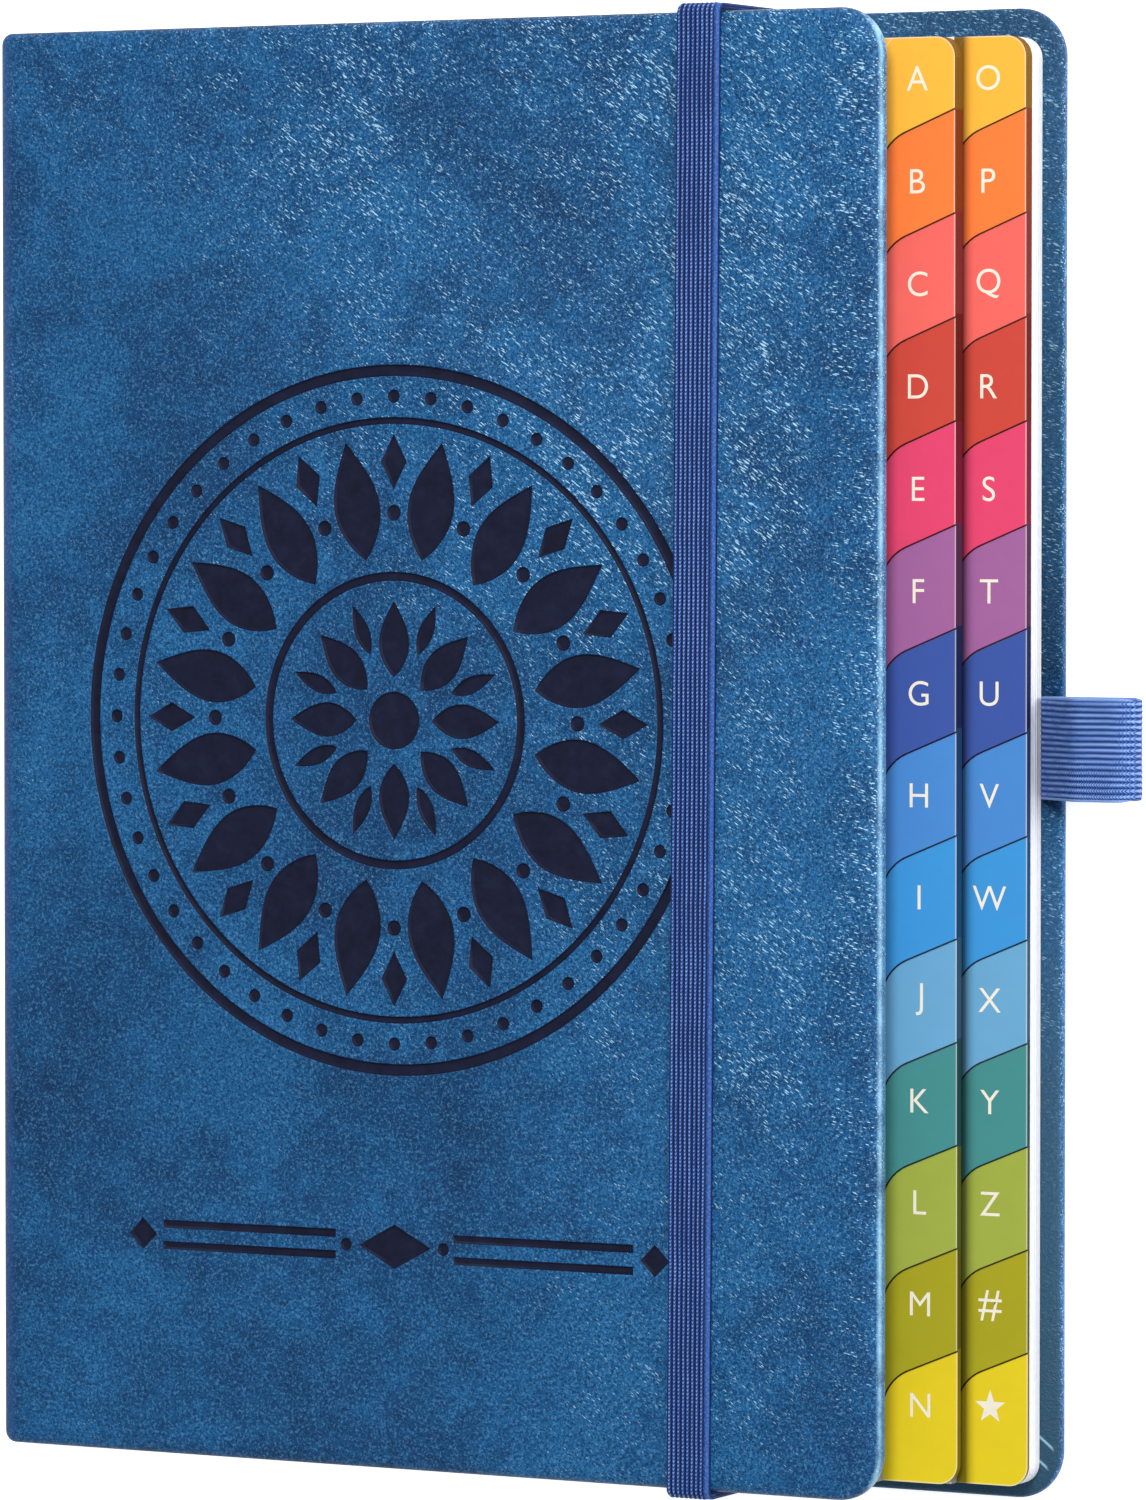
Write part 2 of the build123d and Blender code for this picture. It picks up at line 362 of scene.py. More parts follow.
def leather_material():
    """Blue grained leather: cloudy dye, fine pebbles and slanting creases, with painted glints on their worn
    crests.
    """
    s = Shader("blue_leather")
    place = s.axes()
    facing = s.axes(s.normal())
    clouds = s.noise(34.0, 4.0, 0.6, distortion=0.5)
    mottle = s.noise(210.0, 5.0, 0.72)
    dye = s.math("MULTIPLY_ADD", mottle, 0.42, s.math("MULTIPLY", clouds, 0.58))
    colour = s.ramp(dye, [(0.34, srgb(10, 54, 96)), (0.46, srgb(15, 72, 120)), (0.55, srgb(21, 88, 140)),
                          (0.68, srgb(30, 100, 154))])
    # Small pebbles, with painted shade in the pits between them and painted highlights on their tops
    fine = s.noise(3200.0, 2.0, 0.6)
    pebbles = s.noise(2300.0, 1.0, 0.5, distortion=0.8)
    grain = s.math("MULTIPLY_ADD", fine, 0.6, pebbles)
    colour = s.mix(s.between(grain, 0.62, 0.78, 0.75, 0.0), colour, srgb(10, 46, 86))
    colour = s.mix(s.between(grain, 0.84, 1.0, 0.0, 0.4), colour, srgb(88, 150, 198))
    glint_and_wear = crease_glint_and_wear(s, place)
    # Painted glints on the worn crests of the creases
    colour = s.mix(crease_glints(s, place, glint_and_wear), colour, srgb(178, 222, 248))
    colour = edge_tones(s, place, facing, mottle, colour)
    colour = margin_tones(s, place, facing, colour)
    s.set(Base_Color=colour, Roughness=s.between(glint_and_wear, 0.0, 1.0, 0.5, 0.36), Specular_IOR_Level=0.2,
          Normal=s.bump(grain, 0.2 * MM, 0.8))
    return s.material


def foil_material():
    """The dark navy floor of the pressed ornament."""
    s = Shader("pressed_navy")
    tone = s.noise(420.0, 4.0, 0.6)
    colour = s.ramp(tone, [(0.35, srgb(17, 20, 42)), (0.7, srgb(25, 30, 56))])
    grain = s.noise(2600.0, 3.0, 0.6)
    s.set(Base_Color=colour, Roughness=0.6, Specular_IOR_Level=0.15, Normal=s.bump(grain, 0.02 * MM, 0.5))
    return s.material


# Webbing, paper and card

def elastic_material(name, along, across, first_rib, pitch, ribs, stitch, tone, crest_from, crest_highlight_strength,
                     groove_to, groove_shade_strength, weakest, edge_shade, lean=0.0):
    """Ribbed elastic: stitched cords with painted light on them and painted shade in the grooves between
    them, and plain selvedges.

    along and across are the axes, 0 to 2, and first_rib is where the ribs start on the across axis.
    A cord's crown runs from -1 in its groove to 1 on top. tone is the ground's brightness, and weakest
    the faintest cord's strength. lean is the shift across for each metre from the head.
    """
    s = Shader(name)
    place = s.axes()
    waver = s.math("MULTIPLY_ADD", s.noise(110.0, 2.0, 0.5), 0.4, 0.3)
    side = s.math("MULTIPLY_ADD", s.math("SUBTRACT", strap_high.y, place[along]), lean, place[across])
    turns = s.math("ADD", s.math("DIVIDE", s.math("SUBTRACT", side, first_rib), pitch), waver)
    half = pitch * ribs / 2
    from_middle = s.math("ABSOLUTE", s.math("SUBTRACT", side, first_rib + half))
    ribbed = s.between(from_middle, half - pitch * 0.1, half + pitch * 0.1, 1.0, 0.0)
    crown = s.math("COSINE", s.math("MULTIPLY", turns, 2 * math.pi))
    twist = s.math("MULTIPLY_ADD", crown, 0.35, s.math("DIVIDE", place[along], stitch))
    yarn = s.math("SINE", s.math("MULTIPLY", twist, 2 * math.pi))
    fuzz = s.noise(2600.0, 3.0, 0.7)
    # Each cord has its own strength, which drifts along its length
    drift = s.noise(1.0, 1.0, 0.5, s.stretched(70.0, 0.8 / pitch, math.pi / 2 * along))
    strength = s.between(drift, 0.3, 0.7, weakest, 1.1)
    # Painted light on each cord's crest and painted shade in the groove beside it
    crest_highlight = s.math("MULTIPLY", s.between(crown, crest_from, 1.0, 0.0, crest_highlight_strength), strength)
    groove = s.between(crown, -1.0, groove_to, groove_shade_strength, 0.0)
    relief = s.math("MULTIPLY", s.math("SUBTRACT", crest_highlight, groove), ribbed)
    light = s.math("ADD", relief, s.between(ribbed, 0.0, 1.0, tone + 0.38, tone))
    light = s.math("MULTIPLY_ADD", s.math("MULTIPLY", yarn, ribbed), 0.24, light)
    # The thin edge is in its own shade
    edge_on = s.math("ABSOLUTE", s.axes(s.normal())[across])
    light = s.math("SUBTRACT", light, s.between(edge_on, 0.6, 0.92, 0.0, edge_shade))
    light = s.math("MULTIPLY_ADD", s.math("SUBTRACT", fuzz, 0.5), 0.6, light)
    colour = s.ramp(light, [(0.06, srgb(4, 24, 74)), (0.4, srgb(16, 54, 122)), (0.7, srgb(44, 88, 162)),
                            (0.95, srgb(122, 152, 208))])
    height = s.math("MULTIPLY_ADD", yarn, 0.45, s.math("ADD", crown, fuzz))
    s.set(Base_Color=colour, Roughness=0.7, Specular_IOR_Level=0.25, Normal=s.bump(height, 0.06 * MM, 0.7))
    return s.material


def paper_material(name, tint, edge_pitch):
    """Uncoated paper with faint fibres, and painted shade on its cut edges, in lines from leaf to leaf."""
    s = Shader(name)
    place = s.axes()
    fibres = s.noise(900.0, 4.0, 0.65)
    colour = s.ramp(fibres, [(0.3, srgb(*(c - 8 for c in tint))), (0.7, srgb(*tint))])
    lines = s.math("SINE", s.math("MULTIPLY", place[2], 2 * math.pi / edge_pitch))
    side = s.math("SUBTRACT", 1.0, s.math("ABSOLUTE", s.axes(s.normal())[2]))
    shade = s.math("MULTIPLY", s.between(lines, -0.4, 1.0, 0.2, 0.42), side)
    s.set(Base_Color=s.mix(shade, colour, srgb(150, 148, 150)), Roughness=0.8,
          Normal=s.bump(fibres, 0.02 * MM, 0.4))
    return s.material


def tab_rows(s, x, y, root, edge):
    """How many rows down a place lies, and how level the tabs' feet are there.

    The foot of each tab runs down from the fore-edge on a slope, with a rounded sweep at its root.
    """
    slope_angle = math.atan(TAB_SLOPE)
    from_root = s.between(s.math("SUBTRACT", x, root), 0.0, edge - root, 0.0, edge - root)
    sweep = s.math("MINIMUM", from_root, TAB_SWEEP_RADIUS * (1 - math.sin(slope_angle)))
    sweep = s.math("MAXIMUM", sweep, 0.02 * MM)
    lean = s.math("SUBTRACT", TAB_SWEEP_RADIUS, sweep)
    arc = s.math("SQRT", s.math("SUBTRACT", TAB_SWEEP_RADIUS ** 2, s.math("MULTIPLY", lean, lean)))
    drop = s.math("SUBTRACT", TAB_SWEEP_RADIUS / math.cos(slope_angle), arc)
    drop = s.math("MULTIPLY_ADD", lean, -TAB_SLOPE, drop)
    straight = s.math("MULTIPLY", s.math("SUBTRACT", edge, x), TAB_SLOPE)
    level = s.math("ADD", y, s.math("ADD", straight, drop))
    depth = s.math("SUBTRACT", first_high.y - FIRST_ROW_HEIGHT + ROW_PITCH, level)
    return s.math("DIVIDE", depth, ROW_PITCH), s.math("DIVIDE", arc, TAB_SWEEP_RADIUS)


def from_leaf_edge(s, x, y, edge):
    """Distance in from a leaf's fore-edge, head and tail, with rounded corners."""
    out_x = s.math("MAXIMUM", s.math("SUBTRACT", x, edge - PAGE_CORNER_RADIUS), 0.0)
    out_y = s.math("MAXIMUM", s.math("SUBTRACT", y, first_high.y - PAGE_CORNER_RADIUS), 0.0)
    out_y = s.math("MAXIMUM", s.math("SUBTRACT", first_low.y + PAGE_CORNER_RADIUS, y), out_y)
    reach = s.math("SQRT", s.math("MULTIPLY_ADD", out_x, out_x, s.math("MULTIPLY", out_y, out_y)))
    return s.math("SUBTRACT", PAGE_CORNER_RADIUS, reach)


def tab_print(s, x, y, root, edge, row, shade_from):
    """The tab's colour, with painted highlights along its head and fore-edge, a painted shade line along its
    foot and painted shade on its cut edges.

    shade_from is where the column above ends, and throws a soft shade.
    """
    rows_down, levelness = tab_rows(s, x, y, root, edge)
    stops = [(index / ROWS, srgb(*rgb)) for index, rgb in enumerate(ROW_COLOURS.values())]
    printed_row = s.math("MINIMUM", s.math("ADD", rows_down, PRINT_OVERLAP / ROW_PITCH), row + 0.5)
    colour = s.ramp(s.math("DIVIDE", printed_row, float(ROWS)), stops, "CONSTANT")
    colour = s.mix(s.math("MULTIPLY", s.noise(260.0, 3.0, 0.6), 0.10), colour, srgb(60, 40, 30))
    # Painted shade colours: one for the cut edges, one for the line along the foot
    cut_edge_shade = s.mix(0.8, colour, srgb(6, 3, 6))
    outline = s.mix(0.94, colour, srgb(18, 2, 6))
    within = s.math("SUBTRACT", rows_down, float(row))
    # Painted highlights along the tab's head and its fore-edge
    below_head = s.math("ABSOLUTE", s.math("MULTIPLY_ADD", within, ROW_PITCH, 0.12 * MM))
    tab_head_highlight = s.between(below_head, 0.08 * MM, 0.2 * MM, 0.3, 0.0)
    from_edge = from_leaf_edge(s, x, y, edge)
    tab_edge_highlight = s.between(from_edge, 0.1 * MM, 0.26 * MM, 0.4, 0.0)
    colour = s.mix(s.math("MAXIMUM", tab_head_highlight, tab_edge_highlight), colour, srgb(255, 244, 236))
    # Painted shade line along the tab's foot
    if row < ROWS - 1:
        above_foot = s.math("MULTIPLY", s.math("SUBTRACT", 1.0, within), ROW_PITCH)
        above_foot = s.math("MULTIPLY", above_foot, levelness)
        colour = s.mix(s.between(above_foot, 0.17 * MM, 0.26 * MM), outline, colour)
    # Painted shade on the leaf's cut edges
    colour = s.mix(s.between(from_edge, 0.01 * MM, 0.03 * MM, 1.0, 0.0), colour, cut_edge_shade)
    if shade_from is not None:
        shade = s.between(x, shade_from, shade_from + 1.9 * MM, 1.0, 0.0)
        shade = s.math("MULTIPLY", s.math("MULTIPLY", shade, shade), 0.8)
        colour = s.mix(shade, colour, srgb(8, 4, 8))
    return colour


def ruled_page(s, x, y, root, fibres):
    """The page inside the tabs, with writing lines clear of its margins."""
    rules_up = s.math("DIVIDE", s.math("ADD", y, 1.0), ROW_PITCH / 2)
    rule = s.math("ABSOLUTE", s.math("SUBTRACT", s.math("FRACT", rules_up), 0.5))
    ruled = s.between(rule, 0.0, 0.022, 1.0, 0.0)
    clear = s.math("MULTIPLY", s.between(x, SPINE_X + 14 * MM, SPINE_X + 14.3 * MM),
                   s.between(x, root - 6.3 * MM, root - 6 * MM, 1.0, 0.0))
    page = s.ramp(fibres, [(0.3, srgb(238, 236, 230)), (0.7, srgb(247, 245, 240))])
    return s.mix(s.math("MULTIPLY", s.math("MULTIPLY", ruled, clear), 0.6), page, srgb(120, 140, 175))


def index_material(name, root, edge, row, shade_from):
    """An index leaf: printed card in the tab zone and ruled paper inside it."""
    s = Shader(name)
    x, y, _ = s.axes()
    fibres = s.noise(900.0, 4.0, 0.65)
    page = ruled_page(s, x, y, root, fibres)
    card = tab_print(s, x, y, root, edge, row, shade_from)
    tab_zone = s.between(x, root - 0.15 * MM, root + 0.05 * MM)
    s.set(Base_Color=s.mix(tab_zone, page, card), Roughness=0.5, Specular_IOR_Level=0.06,
          Normal=s.bump(fibres, 0.015 * MM, 0.3))
    return s.material


def plain_material(name, low, high, scale, roughness, relief):
    """A material of two near tones with a fine relief."""
    s = Shader(name)
    tone = s.noise(scale, 4.0, 0.65)
    s.set(Base_Color=s.ramp(tone, [(0.3, srgb(*low)), (0.7, srgb(*high))]), Roughness=roughness,
          Normal=s.bump(tone, relief))
    return s.material


def band_material():
    """Head bands: striped ribbon with a corded edge."""
    s = Shader("striped_band")
    stripe = s.math("SINE", s.math("MULTIPLY", s.axes()[2], 2 * math.pi / (1.6 * MM)))
    colour = s.ramp(s.between(stripe, -0.2, 0.2), [(0.0, srgb(38, 60, 140)), (1.0, srgb(214, 220, 236))])
    s.set(Base_Color=colour, Roughness=0.7, Normal=s.bump(s.noise(2200.0, 3.0, 0.6), 0.04 * MM))
    return s.material


LEATHER = leather_material()
FOIL = foil_material()
STRAP_WEB = elastic_material(
    "strap_webbing", along=1, across=0, first_rib=STRAP_FIRST_RIB, pitch=STRAP_PITCH, ribs=STRAP_RIBS,
    stitch=0.55 * MM, tone=0.33, crest_from=-0.6, crest_highlight_strength=0.48, groove_to=0.3, groove_shade_strength=0.5,
    weakest=0.75, edge_shade=0.6, lean=STRAP_LEAN)
LOOP_WEB = elastic_material(
    "loop_webbing", along=0, across=1, first_rib=LOOP_FIRST_RIB, pitch=LOOP_PITCH, ribs=LOOP_RIBS,
    stitch=0.4 * MM, tone=0.68, crest_from=0.1, crest_highlight_strength=0.55, groove_to=-0.4, groove_shade_strength=0.36,
    weakest=0.2, edge_shade=0.15)
NOTE_PAPER = paper_material("note_paper", (230, 232, 240), 0.206 * MM)
FRONT_PAPER = paper_material("front_paper", (248, 246, 240), 0.19 * MM)
ENDPAPER = paper_material("endpaper", (240, 238, 230), 0.2 * MM)
BOARD = plain_material("grey_board", (120, 116, 108), (150, 146, 136), 700.0, 0.9, 0.05 * MM)
GAUZE = plain_material("lining_gauze", (200, 196, 184), (228, 224, 214), 1800.0, 0.9, 0.06 * MM)
MARK_INK = plain_material("mark_ink", (234, 226, 208), (242, 235, 218), 800.0, 0.5, 0.004 * MM)
BAND = band_material()


# Mesh helpers

def put_in_scene(name, data):
    """A new object in the scene."""
    thing = bpy.data.objects.new(name, data)
    bpy.context.scene.collection.objects.link(thing)
    return thing


def add_piece(name, vertices, faces, materials, face_slots=None, smooth=True):
    """A mesh object with its faces' material slots."""
    mesh = bpy.data.meshes.new(name)
    mesh.from_pydata([tuple(v) for v in vertices], [], faces)
    for material in materials:
        mesh.materials.append(material)
    if face_slots:
        mesh.polygons.foreach_set("material_index", face_slots)
    mesh.polygons.foreach_set("use_smooth", [smooth] * len(mesh.polygons))
    mesh.validate()
    mesh.update()
    return put_in_scene(name, mesh)


def ring_faces(first, second, count):
    """Quads between two closed rings of points, given where each ring starts."""
    return [(first + i, first + (i + 1) % count, second + (i + 1) % count, second + i) for i in range(count)]


def stacked_faces(rings, count):
    """Quads between each ring of points and the next, for rings kept one after another."""
    return [quad for i in range(rings - 1) for quad in ring_faces(i * count, (i + 1) * count, count)]


def turn_outward(piece):
    """Make a closed mesh's faces look outward."""
    work = bmesh.new()
    work.from_mesh(piece.data)
    bmesh.ops.recalc_face_normals(work, faces=work.faces)
    work.to_mesh(piece.data)
    work.free()
    return piece


def page_ring(x0, x1, y0, y1, radius, stations=(), steps=7, spine_radius=0.0):
    """A leaf's outline from the spine's tail corner round the fore-edge to its head corner.

    Points at the same x pair up: the first with the last, the second with the last but one.
    """
    tail = [(x0, y0)]
    if spine_radius:
        turns = [math.pi / 2 * step / 5 for step in range(6)]
        tail = [(x0 + spine_radius * (1 - math.cos(a)), y0 + spine_radius * (1 - math.sin(a))) for a in turns]
    tail += [(x, y0) for x in stations if x0 < x < x1 - radius]
    for step in range(steps + 1):
        angle = math.pi / 2 * step / steps
        tail.append((x1 - radius + radius * math.sin(angle), y0 + radius - radius * math.cos(angle)))
    head = [(x, y0 + y1 - y) for x, y in reversed(tail)]
    return tail + head


def paired_cap(start, count):
    """Faces across a ring whose points pair up, first with last."""
    end = start + count - 1
    return [(start + i, start + i + 1, end - 1 - i, end - i) for i in range(count // 2 - 1)]


def closed_stack(rings):
    """Points and faces of a solid whose rings' points pair up, with a cap at each end."""
    count = len(rings[0])
    vertices = [p for ring in rings for p in ring]
    faces = paired_cap(0, count) + paired_cap((len(rings) - 1) * count, count)
    return vertices, faces + stacked_faces(len(rings), count)


def inside(point, polygon):
    """Whether a point lies in a polygon, by counting crossings."""
    crossings = 0
    previous = polygon[-1]
    for corner in polygon:
        if (corner.y > point.y) != (previous.y > point.y):
            at = (previous.x - corner.x) * (point.y - corner.y) / (previous.y - corner.y) + corner.x
            crossings += point.x < at
        previous = corner
    return crossings % 2 == 1


def carve(piece, low, high):
    """Cut a box out of a closed mesh."""
    corners = [(x, y, z) for x in (low[0], high[0]) for y in (low[1], high[1]) for z in (low[2], high[2])]
    sides = [(0, 1, 3, 2), (4, 6, 7, 5), (0, 4, 5, 1), (2, 3, 7, 6), (0, 2, 6, 4), (1, 5, 7, 3)]
    cutter = turn_outward(add_piece("cutter", corners, sides, [LEATHER], smooth=False))
    cut = piece.modifiers.new("cut", "BOOLEAN")
    cut.operation = "DIFFERENCE"
    cut.solver = "EXACT"
    cut.object = cutter
    view = bpy.context.evaluated_depsgraph_get()
    result = bpy.data.meshes.new_from_object(piece.evaluated_get(view))
    piece.modifiers.clear()
    piece.data = result
    bpy.data.objects.remove(cutter)


# Ornament on the front cover: motifs given as outlines that can be grown or shrunk

def heading(angle):
    """The unit vector at an angle."""
    return Vector((math.cos(angle), math.sin(angle)))


def circle_motif(centre, radius, count):
    """A disc's outline."""
    def outline(grow):
        return [centre + heading(2 * math.pi * i / count) * (radius + grow) for i in range(count)]
    return outline


def petal_motif(centre, angle, inner, outer, width, count=14):
    """A pointed petal between two radii of the medallion."""
    along = heading(angle)
    across = Vector((-along.y, along.x))

    def outline(grow):
        start, end = inner - 1.6 * grow, outer + 1.6 * grow
        points = []
        for side in (1, -1):
            for i in range(count):
                t = i / count if side > 0 else 1 - i / count
                bulge = math.sin(math.pi * t ** 0.85) * (width / 2 + grow)
                points.append(centre + along * (start + (end - start) * t) + across * side * bulge)
        return points
    return outline


def diamond_motif(centre, angle, length, width):
    """A diamond with its length at an angle."""
    along = heading(angle)
    across = Vector((-along.y, along.x))

    def outline(grow):
        a, b = length / 2 + 1.5 * grow, width / 2 + 1.5 * grow
        return [centre + along * a, centre + across * b, centre - along * a, centre - across * b]
    return outline


def bar_motif(centre, length, width):
    """A level bar."""
    def outline(grow):
        a, b = length / 2 + grow, width / 2 + grow
        return [centre + Vector(p) for p in ((a, b), (-a, b), (-a, -b), (a, -b))]
    return outline


def medallion_motifs():
    """Petals, diamonds and dots in circles round the medallion's middle."""
    motifs = [circle_motif(MEDALLION, 4.2 * MM, 32)]
    for i in range(8):
        angle = 2 * math.pi * i / 8
        motifs.append(petal_motif(MEDALLION, angle, 6.4 * MM, 17.5 * MM, 5.0 * MM))
        motifs.append(petal_motif(MEDALLION, angle + math.pi / 8, 10.5 * MM, 18.2 * MM, 2.4 * MM))
    for i in range(16):
        angle = 2 * math.pi * (i + 0.5) / 16
        motifs.append(petal_motif(MEDALLION, angle, 24.0 * MM, 41.5 * MM, 7.6 * MM))
        between = angle + math.pi / 16
        motifs.append(diamond_motif(MEDALLION + heading(between) * 38.0 * MM, between, 8.0 * MM, 4.2 * MM))
        motifs.append(circle_motif(MEDALLION + heading(between) * 30.5 * MM, 1.1 * MM, 16))
    for i in range(48):
        spot = MEDALLION + heading(2 * math.pi * i / 48) * 47.6 * MM
        motifs.append(circle_motif(spot, 0.95 * MM, 12))
    return motifs


def rule_motifs():
    """The ruled line below the medallion: paired bars between diamonds and dots."""
    motifs = [diamond_motif(LOWER_RULE, 0.0, 12.0 * MM, 6.4 * MM)]
    for side in (1, -1):
        for rise in (1.6 * MM, -1.6 * MM):
            motifs.append(bar_motif(LOWER_RULE + Vector((side * 24.8 * MM, rise)), 29.6 * MM, 1.1 * MM))
        motifs.append(circle_motif(LOWER_RULE + Vector((side * 8.2 * MM, 0.0)), 0.9 * MM, 14))
        motifs.append(diamond_motif(LOWER_RULE + Vector((side * 43.2 * MM, 0.0)), 0.0, 4.6 * MM, 4.6 * MM))
    return motifs


# Covers

def cover_rings(x1, y0, y1, flip):
    """Rings of a cover from its face over its edges to the turned-in margin.

    flip is 1 for the front cover and -1 for the back.
    """
    face_level = BOOK_TOP if flip > 0 else 0.0
    rings = []
    for inset, depth in ((inset * MM, depth * MM) for inset, depth in EDGE_DROPS):
        radius = max(CORNER_RADIUS - inset, LEAST_CORNER_RADIUS)
        spine_inset = min(inset * SPINE_INSET_SHARE, TURN_IN)
        outline = page_ring(SPINE_X + spine_inset, x1 - inset, y0 + inset, y1 - inset, radius, steps=12,
                            spine_radius=SPINE_CORNER_RADIUS)
        rings.append([(x, y, face_level - flip * depth) for x, y in outline])
    return rings


class PressedSkin:
    """The points and faces of a cover's leather, with motifs pressed into its face."""

    def __init__(self, rings):
        self.vertices = [Vector(p) for ring in rings for p in ring]
        self.faces = []
        self.slots = []
        self.loops = [(0, len(rings[0]))]
        self.floors = []
        self.add(stacked_faces(len(rings), len(rings[0])), LEATHER_SLOT)

    def add(self, faces, slot):
        self.faces += faces
        self.slots += [slot] * len(faces)

    def wall(self, motif, sign=1):
        """Add a motif's wall, and say where its floor ring starts and how many points it has.

        sign is -1 where the pressed side lies outside the outline.
        """
        starts = []
        for grow, depth in WALL:
            starts.append(len(self.vertices))
            level = BOOK_TOP - depth * MM
            self.vertices += [Vector((p.x, p.y, level)) for p in motif(sign * grow * MM)]
        size = len(self.vertices) - starts[-1]
        for band, (a, b) in enumerate(zip(starts, starts[1:])):
            self.add(ring_faces(a, b, size), LEATHER_SLOT if band < LIP_BANDS else FOIL_SLOT)
        self.loops.append((starts[0], size))
        return starts[-1], size

    def press(self, motif):
        """Press the whole inside of a motif."""
        start, size = self.wall(motif)
        self.floors.append(len(self.faces))
        self.add([tuple(range(start, start + size))], FOIL_SLOT)

    def press_ring(self, inner, outer):
        """Press the ring between two circles."""
        inner_floor, size = self.wall(inner, -1)
        outer_floor, size = self.wall(outer)
        self.add(ring_faces(inner_floor, outer_floor, size), FOIL_SLOT)

    def fill(self):
        """Add the face between the cover's edge and the motifs."""
        index = [start + i for start, size in self.loops for i in range(size)]
        points = [self.vertices[i].xy for i in index]
        edges = []
        polygons = []
        base = 0
        for _, size in self.loops:
            edges += [(base + i, base + (i + 1) % size) for i in range(size)]
            polygons.append(points[base:base + size])
            base += size
        flat, _, triangles, origin, _, _ = delaunay_2d_cdt(points, edges, [], 0, 1e-7)
        for triangle in triangles:
            centre = sum((flat[i] for i in triangle), Vector((0, 0))) / 3
            if sum(inside(centre, polygon) for polygon in polygons) % 2 == 1:
                self.add([tuple(index[origin[i][0]] for i in triangle)], LEATHER_SLOT)


def front_cover():
    """The front cover's leather, with the pressed ornament in its face."""
    skin = PressedSkin(cover_rings(front_high.x, front_low.y, front_high.y, 1))
    for motif in medallion_motifs() + rule_motifs():
        skin.press(motif)
    for inner, outer in PRESSED_RINGS:
        skin.press_ring(circle_motif(MEDALLION, inner * MM, 144), circle_motif(MEDALLION, outer * MM, 144))
    skin.fill()
    piece = add_piece("front_cover_skin", skin.vertices, skin.faces, [LEATHER, FOIL], skin.slots)
    for face in skin.floors:
        piece.data.polygons[face].use_smooth = False
    turn_outward(piece)
    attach(piece, "front_cover")
    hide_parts("front_cover_leather")


def back_cover():
    """The back cover's leather, cut for the strap's ends and the pen loop's tongue."""
    vertices, faces = closed_stack(cover_rings(back_high.x, back_low.y, back_high.y, -1))
    piece = turn_outward(add_piece("back_cover_skin", vertices, faces, [LEATHER]))
    tail = front_high.y - STRAP_TAIL
    for y0, y1 in ((tail, PAST_BOOK), (-PAST_BOOK, -tail)):
        carve(piece, (strap_low.x - CUT_ROOM, y0, BELOW_BOOK), (strap_high.x + CUT_ROOM, y1, STRAP_SEAT))
    carve(piece, (tongue_low.x - CUT_ROOM, tongue_low.y - CUT_ROOM, tongue_low.z),
          (PAST_BOOK, tongue_high.y + CUT_ROOM, ABOVE_BOOK))
    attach(piece, "book")
    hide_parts("back_cover_leather")


def leather_strip(name, profile, half_height, thickness):
    """A strip of leather along the spine, sunk into the cover at the profile's start.

    profile holds (x, z, outward x, outward z).
    """
    ys = [-half_height + 2 * half_height * i / 24 for i in range(25)]
    vertices = []
    last = len(profile) - 1
    for side in (0, 1):
        for k, (x, z, nx, nz) in enumerate(profile):
            taper = min(1.0, 4.0 * k / last)
            lift = (SPINE_STRIP_RISE * taper - SPINE_STRIP_SINK) if side == 0 else -thickness
            for y in ys:
                vertices.append((x + nx * lift, y, z + nz * lift))
    columns = len(ys)
    other = len(profile) * columns
    faces = []
    for base in (0, other):
        for k in range(last):
            for j in range(columns - 1):
                a = base + k * columns + j
                faces.append((a, a + 1, a + columns + 1, a + columns))
    for k in range(last):
        for j in (0, columns - 1):
            a = k * columns + j
            faces.append((a, a + columns, other + a + columns, other + a))
    for k in (0, last):
        for j in range(columns - 1):
            a = k * columns + j
            faces.append((a, a + 1, other + a + 1, other + a))
    return turn_outward(add_piece(name, vertices, faces, [LEATHER]))


def spine_profile(z_from, z_to):
    """Down or up the spine's face between two heights."""
    return [(SPINE_X, z_from + (z_to - z_from) * i / 12, -1.0, 0.0) for i in range(13)]


def spine():
    """The spine's leather, and the strip at the hinge where the front cover turns."""
    half = spine_high.y - 1.0 * MM
    middle = (spine_low.z + spine_high.z) / 2
    back_profile = spine_profile(SPINE_STRIP_START, middle)
    back = leather_strip("spine_skin", back_profile, half, SPINE_STRIP_THICKNESS)
    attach(back, "book")
    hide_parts("spine_leather")
    front_profile = spine_profile(BOOK_TOP - SPINE_STRIP_START, middle)
    front = leather_strip("hinge_skin", front_profile, half, SPINE_STRIP_THICKNESS)
    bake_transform(front)


# Pages

def page_stack(name, node, leaves, material, body, seed):
    """A gathering of leaves with slightly uneven cut edges."""
    low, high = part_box(node)
    rng = random.Random(seed)
    pitch = (high.z - low.z) / leaves
    stations = [low.x + d * MM for d in (8, 30, 60, 100)]
    rings = []
    for leaf in range(leaves):
        z = low.z + leaf * pitch
        ragged = rng.uniform(0.0, 0.09) * MM
        edge = [(ragged + 0.05 * MM, 0.0), (ragged, 0.18), (ragged, 0.74), (ragged + 0.07 * MM, 0.94)]
        for inset, height in edge:
            outline = page_ring(low.x, high.x - inset, low.y + inset, high.y - inset,
                                PAGE_CORNER_RADIUS, stations)
            rings.append([(x, y, z + height * pitch) for x, y in outline])
    vertices, faces = closed_stack(rings)
    piece = turn_outward(add_piece(name, vertices, faces, [material], smooth=False))
    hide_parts(node)
    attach(piece, body)


